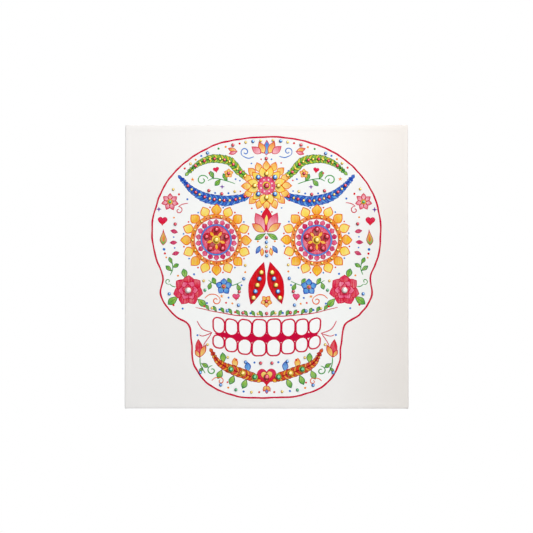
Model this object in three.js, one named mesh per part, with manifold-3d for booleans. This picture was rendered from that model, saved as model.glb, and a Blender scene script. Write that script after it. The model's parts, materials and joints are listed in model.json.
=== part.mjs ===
// A square stretched canvas for the wall, with a sugar-skull figure set with domed gems on its front.
// Millimetres. The front faces -Y, +X is to the right and +Z is up.
// The origin is on the back of the cloth's flap at the middle of the top bar, where the frame meets the wall.
import * as THREE from 'three';
import { mergeVertices } from 'three/addons/utils/BufferGeometryUtils.js';
import Module from 'manifold-3d';

const wasm = await Module();
wasm.setup();

// Driving dimensions of the frame and the cloth
const canvasSize = 406.4;
const clothThickness = 0.6;
const seatGap = 0.3;
const cutOverrun = 5;

const barWidth = 38;
const barDepth = 17.5;
const lipWidth = 7;
const lipRise = 3;
const lipRadius = 2;
const barSlopeRun = 5;
const innerEdgeRadius = 2;

// Corner joint: a tongue and a slot at each end of each bar, in two layers
const jointGap = 0.3;
const slotWidth = 4;
const backCheek = 3.8;
const jointShoulder = 9;

// Corner keys
const keyLength = 42;
const keyInsertion = 20;
const keyTipWidth = 8;
const keyHeadWidth = 15;
const keyCornerCut = 3;

// Cloth on the back and at the corners
const flapWidth = 19;
const clothEdgeRadius = 1.6;
const cornerFoldReach = 18;

// Hanging straps, rings and screws
const hangerDrop = 100;
const strapWidth = 10;
const strapThickness = 1;
const strapReach = 24;
const strapHoleRadius = 2;
const ringWireRadius = 1.2;
const ringClearance = 0.3;
const ringInnerWidth = 14;
const ringInnerDepth = 11;
const ringCornerRadius = 2.2;
const ringSplit = 0.5;
const barrelSweep = THREE.MathUtils.degToRad(285);
const screwHeadRadius = 3.3;
const screwHeadHeight = 2.2;
const screwShankRadius = 1.6;
const screwLength = 11;
const screwTipLength = 2.5;
const recessWidth = 1.1;
const recessReach = 4;
const recessDepth = 1.4;

// Gems: flat backs, low domes, each on a film of glue
const glueFilm = 0.15;
const largeGemRadius = 4.2;
const gemRadius = 3.5;
const girdleHeight = 0.7;
const gemDomeShare = 0.62;
const gemSegments = 14;
const gemRings = 3;
const arcSteps = 4;

// Places of the gems on the front, from the middle of the canvas
const blossomHeight = 116;
const blossomRingRadius = 17;
const blossomGemCount = 8;
const eyeSpacing = 72;
const eyeHeight = 38;
const eyeRingRadius = 15;
const eyeGemCount = 5;
const nostrilTop = 0;
const nostrilSpacing = 5;
const nostrilLean = 0.3;
const nostrilStart = 9;
const nostrilPitch = 9.5;
const nostrilGemCount = 5;
const cheekSpacing = 112;
const cheekHeight = -34;
const chinHeight = -158;
const chinGemPitch = 17;
const chinGemCount = 3;
const chinGemRise = 5.5;

// Worked out from the sizes above
const half = canvasSize / 2;
const clothSeat = clothThickness + seatGap;
const barHalf = half - clothSeat;
const innerHalf = barHalf - barWidth;
const barBack = 0;
const barFront = -barDepth;
const tongueThickness = slotWidth - 2 * jointGap;
const backLayer = barBack - backCheek - slotWidth / 2;
const frontLayer = backLayer - slotWidth;
const canvasFront = barFront - clothSeat;
const strapBack = barBack + seatGap;
const barrelInner = ringWireRadius + ringClearance;
const barrelOuter = barrelInner + strapThickness;
const ringAxisY = strapBack + barrelOuter;
const strapFace = strapBack + strapThickness;
// The straps are in the middle of the bare wood between the cloth's flap and the bar's inner edge
const hangerX = (half - flapWidth + innerHalf) / 2;
const hangerZ = half - hangerDrop;
const wallPointZ = half - flapWidth / 2;
const strapEnd = -strapReach + strapWidth / 2;
const screwZ = hangerZ + strapEnd;

const materials = {
  canvas: new THREE.MeshStandardMaterial({ color: 0xf1ede6, roughness: 0.9, metalness: 0 }),
  pine: new THREE.MeshStandardMaterial({ color: 0xd9b988, roughness: 0.7, metalness: 0 }),
  key: new THREE.MeshStandardMaterial({ color: 0xcfa772, roughness: 0.7, metalness: 0 }),
  steel: new THREE.MeshStandardMaterial({ color: 0xb9b6ae, roughness: 0.35, metalness: 1 }),
  brass: new THREE.MeshStandardMaterial({ color: 0xc9a24a, roughness: 0.35, metalness: 1 }),
  gold: new THREE.MeshStandardMaterial({ color: 0xd6a02a, roughness: 0.15, metalness: 0 }),
  blue: new THREE.MeshStandardMaterial({ color: 0x1f63c4, roughness: 0.15, metalness: 0 }),
  red: new THREE.MeshStandardMaterial({ color: 0xc5122c, roughness: 0.15, metalness: 0 }),
  green: new THREE.MeshStandardMaterial({ color: 0x1f9a55, roughness: 0.15, metalness: 0 }),
  pearl: new THREE.MeshStandardMaterial({ color: 0xe9e4de, roughness: 0.2, metalness: 0 }),
};

// A closed geometry becomes a solid that can be joined and cut, once points that lie together are one
const mergeShare = 1 / 30000;

function toSolid(geometry) {
  const bare = geometry.index ? geometry.toNonIndexed() : geometry.clone();
  bare.deleteAttribute('normal');
  bare.deleteAttribute('uv');
  const merged = mergeVertices(bare, seatGap * mergeShare);
  return new wasm.Manifold(new wasm.Mesh({
    numProp: 3,
    vertProperties: new Float32Array(merged.attributes.position.array),
    triVerts: new Uint32Array(merged.index.array),
  }));
}

function toGeometry(solid) {
  const mesh = solid.getMesh();
  const geometry = new THREE.BufferGeometry();
  geometry.setAttribute('position', new THREE.BufferAttribute(mesh.vertProperties, 3));
  geometry.setIndex(new THREE.BufferAttribute(mesh.triVerts, 1));
  geometry.computeVertexNormals();
  return geometry;
}

function outline(points) {
  return new THREE.Shape(points.map(([x, y]) => new THREE.Vector2(x, y)));
}

// An outline drawn in (x, z) becomes a plate between two depths, yLow < yHigh
function plate(points, yLow, yHigh) {
  const geometry = new THREE.ExtrudeGeometry(outline(points), {
    depth: yHigh - yLow, bevelEnabled: false,
  });
  geometry.rotateX(Math.PI / 2);
  geometry.translate(0, yHigh, 0);
  return geometry;
}

function arcPoints(centreX, centreY, radius, from, to, steps) {
  return Array.from({ length: steps + 1 }, (_, step) => {
    const angle = from + (to - from) * step / steps;
    return [centreX + radius * Math.cos(angle), centreY + radius * Math.sin(angle)];
  });
}

// Stretcher bar: the top bar, drawn in place. The other three are the same bar turned by quarters.
// The profile runs across the bar, with v = 0 at the outer edge, and depth as y.
function barProfile() {
  const lipTop = barFront + lipRadius;
  const innerFront = barFront + lipRise;
  const lip = arcPoints(lipRadius, lipTop, lipRadius, Math.PI, 1.5 * Math.PI, arcSteps);
  const innerEdge = arcPoints(
    barWidth - innerEdgeRadius, innerFront + innerEdgeRadius, innerEdgeRadius,
    -Math.PI / 2, 0, arcSteps,
  );
  const backEdge = arcPoints(
    barWidth - innerEdgeRadius, barBack - innerEdgeRadius, innerEdgeRadius,
    0, Math.PI / 2, arcSteps,
  );
  return [
    ...lip,
    [lipWidth, barFront],
    [lipWidth + barSlopeRun, innerFront],
    ...innerEdge,
    ...backEdge,
    [0, barBack],
  ];
}

// A key's edge leaves the bar's line by its width, which grows from the tip to the head
const keyTipReach = barWidth - keyInsertion;
const keySlope = (keyHeadWidth - keyTipWidth) / keyLength;
const keyWidthAt = (reach) => keyTipWidth + keySlope * (reach - keyTipReach);

// Places at a corner are (u, v): u along the bar from the frame's end, v across it from the outer edge.
// side is +1 for the right end of the top bar and -1 for its left end.
function cornerPlate(points, side, layer, thickness) {
  const placed = points.map(([u, v]) => [side * (barHalf - u), barHalf - v]);
  return toSolid(plate(placed, layer - thickness / 2, layer + thickness / 2));
}

function buildBar() {
  const profile = new THREE.ExtrudeGeometry(outline(barProfile()), {
    depth: 2 * barHalf, bevelEnabled: false,
  });
  // (v, y, length) turns to (x, y, z) with v running down from the outer edge
  profile.applyMatrix4(new THREE.Matrix4().set(
    0, 0, 1, -barHalf,
    0, 1, 0, 0,
    -1, 0, 0, barHalf,
    0, 0, 0, 1,
  ));
  const mitreGap = jointGap / 2 * Math.SQRT2;
  const mitred = toSolid(plate([
    [barHalf + cutOverrun - mitreGap, barHalf + cutOverrun],
    [-barHalf - cutOverrun + mitreGap, barHalf + cutOverrun],
    [mitreGap - innerHalf + cutOverrun, innerHalf - cutOverrun],
    [innerHalf - cutOverrun - mitreGap, innerHalf - cutOverrun],
  ], barFront - cutOverrun, barBack + cutOverrun));
  let bar = toSolid(profile).intersect(mitred);

  for (const side of [1, -1]) {
    const ownLayer = side > 0 ? frontLayer : backLayer;
    const otherLayer = side > 0 ? backLayer : frontLayer;
    const slotEnd = barWidth + jointGap;
    const tongue = [
      [jointShoulder, jointShoulder],
      [jointShoulder, barWidth],
      [slotEnd, barWidth],
      [slotEnd, jointShoulder],
    ];
    // The slot takes the next bar's tongue, and beside it the tip of a key
    const slot = [
      [-cutOverrun, jointShoulder - jointGap],
      [slotEnd, jointShoulder - jointGap],
      [slotEnd, keyTipReach - jointGap],
      [slotEnd + keyWidthAt(keyTipReach) + jointGap, keyTipReach - jointGap],
      [slotEnd + keyWidthAt(barWidth + cutOverrun) + jointGap, barWidth + cutOverrun],
      [-cutOverrun, barWidth + cutOverrun],
    ];
    const slotCut = cornerPlate(slot, side, otherLayer, slotWidth);
    bar = bar.subtract(slotCut).add(cornerPlate(tongue, side, ownLayer, tongueThickness));
  }
  return bar;
}

// The side bars have a pilot hole for the strap's screw, drawn before the bar is turned into place
function pilotHole(along) {
  const radius = screwShankRadius + seatGap;
  const depth = screwLength + seatGap;
  const hole = new THREE.CylinderGeometry(radius, radius, depth + cutOverrun, gemSegments);
  hole.translate(along, barBack + (cutOverrun - depth) / 2, hangerX);
  return toSolid(hole);
}

// Corner key: a thin wedge with its straight edge against a bar and its tip in the next bar's slot
function buildKey(side) {
  const edge = barWidth + jointGap;
  const tip = keyTipReach;
  const head = keyTipReach + keyLength;
  const points = [
    [tip, edge],
    [tip, edge + keyTipWidth],
    [head - keyCornerCut, edge + keyWidthAt(head)],
    [head, edge + keyHeadWidth - keyCornerCut],
    [head, edge],
  ];
  return cornerPlate(points, side, side > 0 ? frontLayer : backLayer, tongueThickness);
}

// Canvas: the cloth goes over the lip, down the edges and round to the flaps on the back
function clothProfile() {
  const outer = half;
  const inner = half - clothThickness;
  const front = canvasFront;
  const frontInside = canvasFront + clothThickness;
  const back = barBack + clothSeat;
  const backInside = back - clothThickness;
  const flapEdge = half - flapWidth;
  const insideRadius = clothEdgeRadius - clothThickness;
  const backRadius = clothThickness;
  return [
    [0, front],
    ...arcPoints(outer - clothEdgeRadius, front + clothEdgeRadius, clothEdgeRadius,
      -Math.PI / 2, 0, arcSteps),
    ...arcPoints(outer - backRadius, back - backRadius, backRadius, 0, Math.PI / 2, 2),
    [flapEdge, back],
    [flapEdge, backInside],
    [inner, backInside],
    ...arcPoints(inner - insideRadius, frontInside + insideRadius, insideRadius,
      0, -Math.PI / 2, arcSteps),
    [0, frontInside],
  ];
}

// At each corner a layer is folded flat: on the top and bottom edges, and on the back
function buildCanvas() {
  const lathe = new THREE.LatheGeometry(
    clothProfile().map(([reach, y]) => new THREE.Vector2(reach * Math.SQRT2, y)), 4, Math.PI / 4,
  );
  let cloth = toSolid(lathe);
  const foldBack = barBack + clothSeat - clothThickness / 2;
  const foldReach = Math.min(cornerFoldReach, foldBack - canvasFront - clothEdgeRadius);
  const bite = clothThickness / 2;
  const cornerReach = half - clothThickness / 2;
  for (const side of [1, -1]) {
    for (const end of [1, -1]) {
      const edgeFold = new THREE.ExtrudeGeometry(outline([
        [side * cornerReach, foldBack],
        [side * (cornerReach - foldReach), foldBack],
        [side * cornerReach, foldBack - foldReach],
      ]), { depth: clothThickness + bite, bevelEnabled: false });
      edgeFold.translate(0, 0, end > 0 ? half - bite : -half - clothThickness);
      const backFold = plate([
        [side * cornerReach, end * cornerReach],
        [side * (cornerReach - flapWidth), end * cornerReach],
        [side * cornerReach, end * (cornerReach - flapWidth)],
      ], foldBack, foldBack + bite + clothThickness);
      cloth = cloth.add(toSolid(edgeFold)).add(toSolid(backFold));
    }
  }
  return cloth;
}

// Hanging strap: a plate with a round end and a screw hole, rolled into a barrel round the ring's wire
function buildStrap(x) {
  const curl = (radius, from, to, steps) => Array.from({ length: steps + 1 }, (_, step) => {
    const angle = from + (to - from) * step / steps;
    return [ringAxisY - radius * Math.cos(angle), radius * Math.sin(angle)];
  });
  const side = outline([
    [strapBack, -strapReach],
    ...curl(barrelOuter, 0, barrelSweep, 18),
    ...curl(barrelInner, barrelSweep, 0, 18),
    [strapFace, -strapReach],
  ]);
  const rolled = new THREE.ExtrudeGeometry(side, { depth: strapWidth, bevelEnabled: false });
  rolled.applyMatrix4(new THREE.Matrix4().set(
    0, 0, 1, x - strapWidth / 2,
    1, 0, 0, 0,
    0, 1, 0, hangerZ,
    0, 0, 0, 1,
  ));
  const plan = plate([
    ...arcPoints(0, strapEnd, strapWidth / 2, Math.PI, 2 * Math.PI, 12),
    [strapWidth, strapEnd + strapWidth / 2],
    [strapWidth, cutOverrun],
    [-strapWidth, cutOverrun],
    [-strapWidth, strapEnd + strapWidth / 2],
  ].map(([px, pz]) => [px + x, pz + hangerZ]), barBack, ringAxisY + cutOverrun);
  const hole = new THREE.CylinderGeometry(
    strapHoleRadius, strapHoleRadius, strapThickness + cutOverrun, gemSegments,
  );
  hole.translate(x, strapBack + strapThickness / 2, screwZ);
  return toSolid(rolled).intersect(toSolid(plan)).subtract(toSolid(hole));
}

// Ring: one wire bent to a D, its two ends meeting inside the barrel
function buildRing(x) {
  const sideX = ringInnerWidth / 2 + ringWireRadius;
  const bottom = -(ringInnerDepth + ringWireRadius);
  const bowRadius = sideX;
  const bowCentre = bottom + bowRadius;
  const corner = ringCornerRadius;
  const centre = [
    [-ringSplit / 2, 0],
    [-(sideX - corner), 0],
    ...arcPoints(-(sideX - corner), -corner, corner, Math.PI / 2, Math.PI, 3).slice(1),
    ...arcPoints(0, bowCentre, bowRadius, Math.PI, 2 * Math.PI, 14),
    ...arcPoints(sideX - corner, -corner, corner, 0, Math.PI / 2, 3),
    [ringSplit / 2, 0],
  ];
  const path = new THREE.CatmullRomCurve3(
    centre.map(([px, pz]) => new THREE.Vector3(px + x, ringAxisY, pz + hangerZ)),
    false, 'centripetal',
  );
  const section = outline(arcPoints(0, 0, ringWireRadius, 0, 2 * Math.PI, 8).slice(0, -1));
  return new THREE.ExtrudeGeometry(section, { extrudePath: path, steps: 40, bevelEnabled: false });
}

// Screw: pan head with a cross recess, shank in the wood. Each pair is a share of the head's radius and height.
const panHeadShares = [[1, 0], [1, 0.35], [0.8, 0.8], [0.4, 1], [0, 1]];

function buildScrew() {
  const headFoot = strapFace + seatGap;
  const tip = barBack - screwLength;
  const body = new THREE.LatheGeometry([
    [0, tip],
    [screwShankRadius, tip + screwTipLength],
    [screwShankRadius, headFoot],
    ...panHeadShares.map(([wide, tall]) => [
      screwHeadRadius * wide, headFoot + screwHeadHeight * tall,
    ]),
  ].map(([radius, y]) => new THREE.Vector2(radius, y)), gemSegments);
  let screw = toSolid(body);
  for (const [wide, tall] of [[recessReach, recessWidth], [recessWidth, recessReach]]) {
    const slot = new THREE.BoxGeometry(wide, 2 * recessDepth, tall);
    slot.translate(0, headFoot + screwHeadHeight, 0);
    screw = screw.subtract(toSolid(slot));
  }
  return screw;
}

// Gem: a flat back, a short girdle and a low dome towards the viewer
function buildGem(radius) {
  const domeHeight = radius * gemDomeShare;
  const dome = Array.from({ length: gemRings + 1 }, (_, step) => {
    const angle = Math.PI / 2 * step / gemRings;
    return [radius * Math.cos(angle), -girdleHeight - domeHeight * Math.sin(angle)];
  });
  const points = [[0, 0], [radius, 0], ...dome.slice(0, -1), [0, -girdleHeight - domeHeight]];
  const gem = new THREE.LatheGeometry(
    points.reverse().map(([reach, y]) => new THREE.Vector2(reach, y)), gemSegments,
  );
  return gem;
}

const part = new THREE.Group();
const frame = new THREE.Group();
frame.position.set(0, -clothSeat, -wallPointZ);
part.add(frame);

function addMesh(name, geometry, material) {
  const mesh = new THREE.Mesh(geometry, materials[material]);
  mesh.name = name;
  frame.add(mesh);
  return mesh;
}

addMesh('canvas', toGeometry(buildCanvas()), 'canvas');

const quarterTurn = Math.PI / 2;
const bar = buildBar();
const pilotPlaces = { bar_right: -screwZ, bar_left: screwZ };
['bar_top', 'bar_right', 'bar_bottom', 'bar_left'].forEach((name, quarters) => {
  const drilled = name in pilotPlaces ? bar.subtract(pilotHole(pilotPlaces[name])) : bar;
  addMesh(name, toGeometry(drilled), 'pine').rotation.y = quarters * quarterTurn;
});

// Two keys to a corner: one lies level under its bar, the other stands along the next bar
const cornerNames = ['top_right', 'bottom_right', 'bottom_left', 'top_left'];
cornerNames.forEach((corner, quarters) => {
  const [along, across] = quarters % 2 === 0 ? ['level', 'upright'] : ['upright', 'level'];
  const first = addMesh(`key_${corner}_${along}`, toGeometry(buildKey(1)), 'key');
  first.rotation.y = quarters * quarterTurn;
  const second = addMesh(`key_${corner}_${across}`, toGeometry(buildKey(-1)), 'key');
  second.rotation.y = (quarters + 1) * quarterTurn;
});

for (const [side, x] of [['left', -hangerX], ['right', hangerX]]) {
  addMesh(`strap_${side}`, toGeometry(buildStrap(x)), 'steel');
  addMesh(`ring_${side}`, buildRing(x), 'steel');
  addMesh(`screw_${side}`, toGeometry(buildScrew()), 'brass').position.set(x, 0, screwZ);
}

const largeGem = buildGem(largeGemRadius);
const smallGem = buildGem(gemRadius);
const gemFoot = canvasFront - glueFilm;

function addGem(name, colour, x, z, large = false) {
  addMesh(`gem_${name}`, large ? largeGem : smallGem, colour).position.set(x, gemFoot, z);
}

addGem('blossom_centre', 'red', 0, blossomHeight, true);
for (let index = 0; index < blossomGemCount; index += 1) {
  const angle = Math.PI / 2 + 2 * Math.PI * index / blossomGemCount;
  addGem(`blossom_${index + 1}`, index % 2 ? 'blue' : 'gold',
    blossomRingRadius * Math.cos(angle), blossomHeight + blossomRingRadius * Math.sin(angle));
}
for (const [side, mirror] of [['left', -1], ['right', 1]]) {
  addGem(`eye_${side}_centre`, 'gold', mirror * eyeSpacing, eyeHeight, true);
  for (let index = 0; index < eyeGemCount; index += 1) {
    const angle = Math.PI / 2 + 2 * Math.PI * index / eyeGemCount;
    addGem(`eye_${side}_${index + 1}`, 'red', mirror * (eyeSpacing + eyeRingRadius * Math.cos(angle)),
      eyeHeight + eyeRingRadius * Math.sin(angle));
  }
  for (let index = 0; index < nostrilGemCount; index += 1) {
    const reach = nostrilStart + nostrilPitch * index;
    addGem(`nose_${side}_${index + 1}`, index % 2 ? 'blue' : 'gold',
      mirror * (nostrilSpacing + reach * Math.sin(nostrilLean)),
      nostrilTop - reach * Math.cos(nostrilLean));
  }
  addGem(`cheek_${side}`, 'pearl', mirror * cheekSpacing, cheekHeight, true);
  for (let index = 0; index < chinGemCount; index += 1) {
    addGem(`chin_${side}_${index + 1}`, index % 2 ? 'gold' : 'green',
      mirror * chinGemPitch * (index + 1), chinHeight + chinGemRise * index);
  }
}
addGem('chin_centre', 'red', 0, chinHeight, true);

export default part;
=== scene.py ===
import cmath
import json
from math import cos, degrees, pi, radians, sin

import bpy
import numpy as np
from mathutils import Matrix, Vector
from mathutils.geometry import delaunay_2d_cdt


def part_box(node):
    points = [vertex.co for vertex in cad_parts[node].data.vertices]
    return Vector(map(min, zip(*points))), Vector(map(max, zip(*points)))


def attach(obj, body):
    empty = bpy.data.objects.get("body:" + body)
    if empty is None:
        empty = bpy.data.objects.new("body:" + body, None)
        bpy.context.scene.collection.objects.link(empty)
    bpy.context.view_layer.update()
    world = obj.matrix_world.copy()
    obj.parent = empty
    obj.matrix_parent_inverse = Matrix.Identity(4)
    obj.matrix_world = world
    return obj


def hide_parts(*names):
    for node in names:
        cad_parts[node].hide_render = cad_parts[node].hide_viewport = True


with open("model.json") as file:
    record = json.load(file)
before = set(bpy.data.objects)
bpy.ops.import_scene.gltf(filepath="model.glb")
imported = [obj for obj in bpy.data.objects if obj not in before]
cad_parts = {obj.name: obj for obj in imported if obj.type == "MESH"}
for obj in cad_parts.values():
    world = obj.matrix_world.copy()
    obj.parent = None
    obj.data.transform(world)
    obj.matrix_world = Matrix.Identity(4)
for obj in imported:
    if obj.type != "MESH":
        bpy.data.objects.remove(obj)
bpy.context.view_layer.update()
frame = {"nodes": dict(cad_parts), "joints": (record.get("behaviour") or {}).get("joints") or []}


# Stretcher bars: four planed pine battens with a raised outer lip, mitred and slotted together at the
# corners. The wood is bare, with its year rings running along each bar and showing as arcs at the ends.
class Shade:
    """A value in a material. Sums and products of values add Math nodes."""

    def __init__(self, finish, socket):
        self.finish, self.socket = finish, socket

    def maths(self, operation, *values):
        return self.finish.node("ShaderNodeMath", {"operation": operation}, *values)

    def __add__(self, other):
        return self.maths("ADD", self, other)

    def __sub__(self, other):
        return self.maths("SUBTRACT", self, other)

    def __rsub__(self, other):
        return self.maths("SUBTRACT", other, self)

    def __mul__(self, other):
        return self.maths("MULTIPLY", self, other)

    def between(self, low, high):
        """0 below low, 1 above high and a soft step between them."""
        return self.finish.node("ShaderNodeMapRange", {"interpolation_type": "SMOOTHSTEP"}, self, low, high)

    __radd__, __rmul__ = __add__, __mul__


def socket_of(sockets, key):
    """A node's socket by its number or its name, written with _ for a space."""
    if isinstance(key, int):
        return sockets[key]
    return next(s for s in sockets if s.identifier in (key, key.replace("_", " ")))


class Finish:
    """A material, or a world, whose nodes are added one by one and end in one shader."""

    def __init__(self, name, made=None, last="Principled BSDF"):
        self.made = made or bpy.data.materials.new(name)
        self.made.use_nodes = True
        self.tree = self.made.node_tree
        self.shader = self.tree.nodes[last]

    def feed(self, socket, value):
        """Links a value to a socket, or sets a plain number, vector or colour there."""
        if isinstance(value, Shade):
            self.tree.links.new(value.socket, socket)
        else:
            socket.default_value = (*value, 1) if socket.type == "RGBA" else value

    def node(self, kind, settings, *values, out=0, **named):
        added = self.tree.nodes.new(kind)
        for key, setting in settings.items():
            if key == "stops":
                ramp = added.color_ramp.elements
                for stop, (place, colour) in enumerate(setting):
                    element = ramp[stop] if stop < len(ramp) else ramp.new(place)
                    element.position, element.color = place, (*colour, 1)
            else:
                setattr(added, key, setting)
        for key, value in [*enumerate(values), *named.items()]:
            self.feed(socket_of(added.inputs, key), value)
        return Shade(self, socket_of(added.outputs, out))

    def place(self, scale=(1, 1, 1), shift=(0, 0, 0), turn=(0, 0, 0)):
        """The piece's own coordinates, in metres, stretched, moved and turned."""
        here = self.node("ShaderNodeTexCoord", {}, out="Object")
        return self.node("ShaderNodeMapping", {}, here, Location=shift, Rotation=turn, Scale=scale)

    def noise(self, place, scale, detail=2.0):
        return self.node("ShaderNodeTexNoise", {}, out="Fac", Vector=place, Scale=scale, Detail=detail)

    def mix(self, share, first, second, how="MIX"):
        """One colour over another; the share and the colours may be links."""
        return self.node("ShaderNodeMix", {"data_type": "RGBA", "blend_type": how}, out="Result_Color",
                         Factor_Float=share, A_Color=first, B_Color=second)

    def bump(self, height, distance, strength):
        return self.node("ShaderNodeBump", {}, Height=height, Distance=distance, Strength=strength)

    def done(self, **inputs):
        for key, value in inputs.items():
            self.feed(socket_of(self.shader.inputs, key), value)
        return self.made


def tint(code):
    """A colour written as six hex digits, turned to the light values that a shader reads."""
    shares = [int(code[i:i + 2], 16) / 255 for i in (0, 2, 4)]
    return tuple(s / 12.92 if s <= 0.04045 else ((s + 0.055) / 1.055) ** 2.4 for s in shares)


# A wave texture repeats every 0.314 m at scale 1, so one of scale wave_span / width repeats every width
wave_span = 0.314
pine_ring, cloud_scale, fibre_scale, saw_scale = 0.0044, 42.0, 1400.0, 900.0


def softwood(name, early, late, along, heart, ring=pine_ring, saw=0.0):
    """Pine whose year rings are round a heart, given in metres, and run along one axis."""
    finish = Finish(name)

    def stretched(on_axis, off_axis):
        return tuple(on_axis if axis == along else off_axis for axis in range(3))

    slow = stretched(0.05, 1.0)
    place = finish.place(slow, tuple(-h * s for h, s in zip(heart, slow)))
    rings = finish.node("ShaderNodeTexWave", {"wave_type": "RINGS", "rings_direction": "XYZ"[along]},
                        Vector=place, Scale=wave_span / ring, Distortion=7.0, Detail=3.0, Detail_Scale=1.3,
                        Detail_Roughness=0.55, out="Fac")
    broad = finish.noise(place, cloud_scale, 3.0)
    fibre = finish.noise(finish.place(stretched(0.02, 1.0)), fibre_scale)
    marks = finish.noise(finish.place(stretched(1.0, 0.05)), saw_scale, 1.0)
    grain = rings * rings * 0.5 + (broad - 0.5) * 0.8 + (fibre - 0.5) * 0.4 + 0.05
    colour = finish.node("ShaderNodeValToRGB", {"stops": [(0.05, tint(early)), (0.95, tint(late))]}, grain)
    height = fibre * 0.6 + rings * 0.3 + marks * saw
    return finish.done(Base_Color=colour, Roughness=fibre * 0.25 + 0.5,
                       Normal=finish.bump(height, 0.00025, 0.7))


def dress(node, material):
    """Gives a CAD node's mesh its finish."""
    mesh = frame["nodes"][node].data
    mesh.materials.clear()
    mesh.materials.append(material)


bar_hearts = {
    "top": (0, (0.0, 0.024, 0.012)),
    "bottom": (0, (0.1, -0.06, -0.37)),
    "left": (2, (-0.215, 0.02, 0.0)),
    "right": (2, (0.19, -0.055, -0.1)),
}
for bar, (along, heart) in bar_hearts.items():
    dress(f"bar_{bar}", softwood(f"pine_{bar}", "ecd3a6", "cfa368", along, heart))


# Corner keys: eight thin wedges sawn from harder, redder wood, tapped into the corner slots from inside to
# tighten the cloth. Each lies with its straight edge against a bar.
key_ring, key_saw, off_heart = 0.0019, 0.8, Vector((0.01, 0.03, 0.012))
for corner in ("top_right", "bottom_right", "bottom_left", "top_left"):
    for way, along in (("level", 0), ("upright", 2)):
        node = f"key_{corner}_{way}"
        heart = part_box(node)[0] - off_heart
        dress(node, softwood(f"sawn_{corner}_{way}", "dcb583", "a9794a", along, heart, key_ring, key_saw))


# Canvas: cotton cloth, primed white on its outer side, pulled over the bars' lip and round to their backs.
# The figure is drawn on it with a crimson pen and coloured pencils. Inside, the cloth is raw.
# Places on it are complex numbers: millimetres to the right of and above its middle.
cloth_low, cloth_high = ([round(1000 * c, 2) for c in corner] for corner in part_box("canvas"))
half = (cloth_high[0] - cloth_low[0]) / 2
canvas_front = cloth_low[1]
middle_height = (cloth_low[2] + cloth_high[2]) / 2
thickness = 0.6
edge_radius = 1.6
back_radius = 0.9
flap = 19.0
pitch = 8.0
ink = []
beads = {"gold": [], "blue": [], "red": [], "green": []}

crimson, scarlet, ruby = tint("ce0c3e"), tint("da0c18"), tint("a00420")
magenta, rose, pink, blush = tint("b80f5c"), tint("e0285c"), tint("ec6c98"), tint("f7c2cc")
orange, amber, yellow, lemon = tint("e6640e"), tint("f2981e"), tint("fad02c"), tint("fbe67c")
lime, green, pine_green = tint("aecf38"), tint("3aa23c"), tint("107038")
sky, azure, royal, violet = tint("70b4ea"), tint("2274d0"), tint("1a3cae"), tint("703ca4")
bare, ground, tooth_white = tint("f6f3f1"), tint("f8f8f7"), tint("fefefd")
pen_load, marker_load, plume_load, pencil_load, no_load = 1.0, 0.88, 0.8, 0.5, 0.0


def blend(first, last, share):
    share = min(1.0, max(0.0, share))
    return tuple(a + (b - a) * share for a, b in zip(first, last))


def along(start, end, first, last):
    """Pencil that runs from one colour to another along a line."""
    span = end - start
    return lambda p: blend(first, last, ((p - start) * span.conjugate()).real / abs(span) ** 2)


def around(centre, inner, outer, first, last):
    """Pencil that runs from one colour to another out from a centre."""
    return lambda p: blend(first, last, (abs(p - centre) - inner) / (outer - inner))


def turning(points):
    """Twice the area that an outline holds: above zero when it runs anticlockwise."""
    return sum((a.conjugate() * b).imag for a, b in zip(points, points[1:] + points[:1]))


def lay(points, paint, twin=True, load=pencil_load):
    """One closed outline of colour, laid over what is there, and its twin on the other side."""
    if turning(points) < 0:
        points = points[::-1]
    shade = paint if callable(paint) else (lambda p, flat=paint: flat)
    ink.append((points, shade, load))
    if twin:
        ink.append(([-p.conjugate() for p in reversed(points)],
                    lambda p, shade=shade: shade(-p.conjugate()), load))


def inset(points, by):
    """An outline drawn in by about the same distance all round, as uneven as a hand draws it."""
    turned = 1j if turning(points) > 0 else -1j
    moved = []
    for i, p in enumerate(points):
        ahead = points[(i + 1) % len(points)] - p
        behind = p - points[i - 1]
        ahead /= abs(ahead) or 1
        behind /= abs(behind) or 1
        mean = ahead + behind
        mean = mean / abs(mean) if abs(mean) > 0.05 else ahead
        reach = max(0.5, (mean.conjugate() * ahead).real)
        uneven = 1 + 0.22 * sin(0.31 * p.real + 0.5 * by) * cos(0.27 * p.imag + 1.3 * by)
        moved.append(p + turned * mean * by * uneven / reach)
    return moved


def smooth(knots, closed=False, step=1.3):
    """A curve through a few places, with a point about every step."""
    count = len(knots)
    out = []
    for i in range(count if closed else count - 1):
        if closed:
            a, b, c, d = (knots[(i + k - 1) % count] for k in range(4))
        else:
            a, b, c, d = (knots[min(max(i + k - 1, 0), count - 1)] for k in range(4))
        parts = max(2, round(abs(c - b) / step))
        for k in range(parts):
            t = k / parts
            out.append(0.5 * (2 * b + (c - a) * t + (2 * a - 5 * b + 4 * c - d) * t * t
                              + (3 * b - a - 3 * c + d) * t ** 3))
    if not closed:
        out.append(knots[-1])
    return out


def arc(centre, radius, start=0.0, turn=360.0, step=1.3):
    parts = max(8, round(abs(radius * radians(turn)) / step))
    return [centre + cmath.rect(radius, radians(start + turn * k / parts))
            for k in range(parts if abs(turn) >= 360 else parts + 1)]


def curl(centre, radius, start, turn):
    """A spiral that winds in from its rim to a quarter of its radius."""
    parts = max(12, round(radius * abs(radians(turn)) * 0.5))
    return [centre + cmath.rect(radius * (1 - 0.75 * k / parts), radians(start + turn * k / parts))
            for k in range(parts + 1)]


def ring_of(centre, radius, count, start=90.0):
    """Evenly spaced directions round a centre, each with its place."""
    for k in range(count):
        angle = start + 360 * k / count
        yield k, angle, centre + cmath.rect(radius, radians(angle))


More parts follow.
